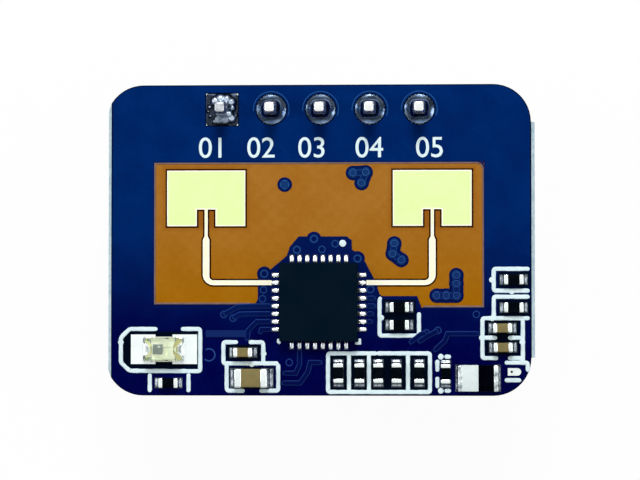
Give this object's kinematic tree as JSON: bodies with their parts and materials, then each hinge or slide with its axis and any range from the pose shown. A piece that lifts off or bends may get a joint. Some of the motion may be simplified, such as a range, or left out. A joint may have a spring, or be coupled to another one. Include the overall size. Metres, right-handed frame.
{
  "type": "microwave radar sensor module",
  "caption": "Small radar presence sensor: blue circuit board with two patch antennas, a radar chip, a lamp and a row of header pins.",
  "frame": {"origin": "on the underside of the pin header's insulator, on the middle pin's axis", "axes": "+Z out of the chip side of the board, +X along the pin row, +Y towards the board's pin edge"},
  "size_m": [0.022, 0.016, 0.0115],
  "materials": {
    "laminate": "glass-epoxy laminate",
    "solder_mask": "glossy cured mask",
    "plated_copper": "pale gold plating",
    "covered_copper": "etched copper under the mask",
    "tin": "bright tin",
    "solder": "shiny solder",
    "pin_metal": "tin-plated pins",
    "header_plastic": "moulded black",
    "chip_mould": "fine matt moulding",
    "resistor_ceramic": "white alumina",
    "resistor_coat": "black glaze",
    "capacitor_ceramic": "brown ceramic",
    "lamp_base": "white base",
    "lamp_lens": "clear casting with a yellow cast",
    "lamp_die": "grey die",
    "diode_mould": "black block",
    "diode_band": "white band",
    "print": "white print"
  },
  "bodies": {
    "root": {"antenna_left": "plated_copper", "antenna_right": "plated_copper", "bottom_solder_mask": "solder_mask", "capacitor_edge_lower_body": "capacitor_ceramic", "capacitor_edge_lower_ends": "tin", "capacitor_edge_upper_body": "capacitor_ceramic", "capacitor_edge_upper_ends": "tin", "capacitor_left_large_body": "capacitor_ceramic", "capacitor_left_large_ends": "tin", "capacitor_left_small_body": "capacitor_ceramic", "capacitor_left_small_ends": "tin", "chip_body": "chip_mould", "chip_centre_pad": "tin", "chip_leads": "tin", "chip_solder": "solder", "diode_band": "diode_band", "diode_body": "diode_mould", "diode_ends": "tin", "header_insulator": "header_plastic", "header_pads": "tin", "header_pins": "pin_metal", "header_solder_joints": "solder", "laminate_core": "laminate", "lamp_base": "lamp_base", "lamp_die": "lamp_die", "lamp_ends": "tin", "lamp_lens": "lamp_lens", "part_lands": "tin", "printed_outlines": "print", "resistor_by_diode_body": "resistor_ceramic", "resistor_by_diode_ends": "tin", "resistor_coats": "resistor_coat", "resistor_edge_lower_body": "resistor_ceramic", "resistor_edge_lower_ends": "tin", "resistor_edge_upper_body": "resistor_ceramic", "resistor_edge_upper_ends": "tin", "resistor_pair_lower_body": "resistor_ceramic", "resistor_pair_lower_ends": "tin", "resistor_pair_upper_body": "resistor_ceramic", "resistor_pair_upper_ends": "tin", "resistor_row_1_body": "resistor_ceramic", "resistor_row_1_ends": "tin", "resistor_row_2_body": "resistor_ceramic", "resistor_row_2_ends": "tin", "resistor_row_3_body": "resistor_ceramic", "resistor_row_3_ends": "tin", "resistor_row_4_body": "resistor_ceramic", "resistor_row_4_ends": "tin", "resistor_row_5_body": "resistor_ceramic", "resistor_row_5_ends": "tin", "resistor_under_lamp_body": "resistor_ceramic", "resistor_under_lamp_ends": "tin", "signal_tracks": "covered_copper", "small_part_solder": "solder", "test_land": "tin", "top_solder_mask": "solder_mask"}
  },
  "joints": []
}
